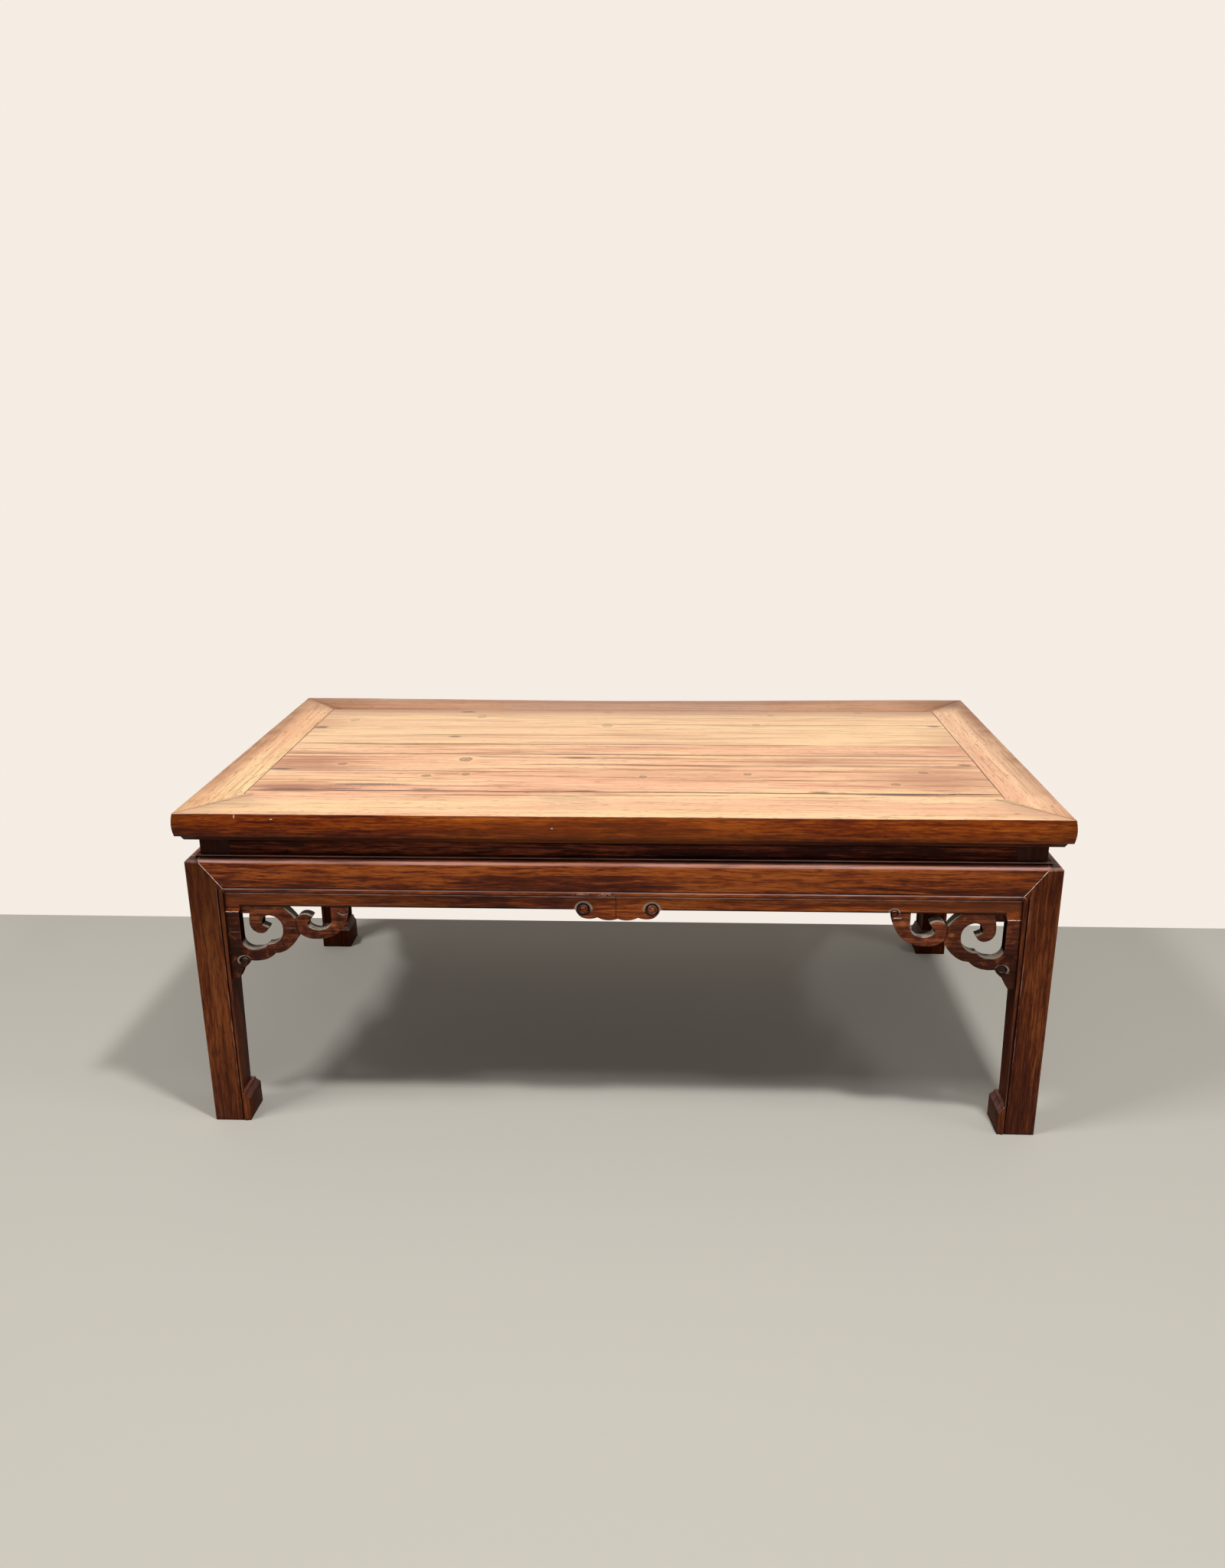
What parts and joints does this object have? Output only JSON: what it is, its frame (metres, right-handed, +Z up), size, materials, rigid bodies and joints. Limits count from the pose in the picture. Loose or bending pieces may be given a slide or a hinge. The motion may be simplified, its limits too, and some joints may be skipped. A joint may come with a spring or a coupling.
{
  "type": "kang table",
  "caption": "Low rectangular hardwood kang table with a mitred floating-panel top, recessed waist, beaded aprons, openwork scroll spandrels and square hoof feet.",
  "frame": {"origin": "middle of the table's footprint on the floor", "axes": "+X along the long sides to the right seen from the front, +Y from the front to the rear, +Z up"},
  "size_m": [1.003, 0.543, 0.4],
  "materials": {
    "panel_wood": "satin",
    "frame_wood": "satin",
    "apron_wood": "satin",
    "leg_wood": "satin",
    "waist_wood": "satin",
    "carved_wood": "satin",
    "inner_wood": "matte"
  },
  "bodies": {
    "root": {"apron_front": "apron_wood", "apron_left": "apron_wood", "apron_rear": "apron_wood", "apron_right": "apron_wood", "batten_left": "inner_wood", "batten_middle": "inner_wood", "batten_right": "inner_wood", "inner_band_front": "carved_wood", "inner_band_left": "carved_wood", "inner_band_rear": "carved_wood", "inner_band_right": "carved_wood", "leg_front_left": "leg_wood", "leg_front_right": "leg_wood", "leg_rear_left": "leg_wood", "leg_rear_right": "leg_wood", "spandrel_front_left": "carved_wood", "spandrel_front_right": "carved_wood", "spandrel_left_left": "carved_wood", "spandrel_left_right": "carved_wood", "spandrel_rear_left": "carved_wood", "spandrel_rear_right": "carved_wood", "spandrel_right_left": "carved_wood", "spandrel_right_right": "carved_wood", "top_board_front": "panel_wood", "top_board_middle": "panel_wood", "top_board_rear": "panel_wood", "top_frame_front": "frame_wood", "top_frame_left": "frame_wood", "top_frame_rear": "frame_wood", "top_frame_right": "frame_wood", "waist_board_front": "waist_wood", "waist_board_left": "waist_wood", "waist_board_rear": "waist_wood", "waist_board_right": "waist_wood", "waist_ledge_front": "waist_wood", "waist_ledge_left": "waist_wood", "waist_ledge_rear": "waist_wood", "waist_ledge_right": "waist_wood"}
  },
  "joints": []
}
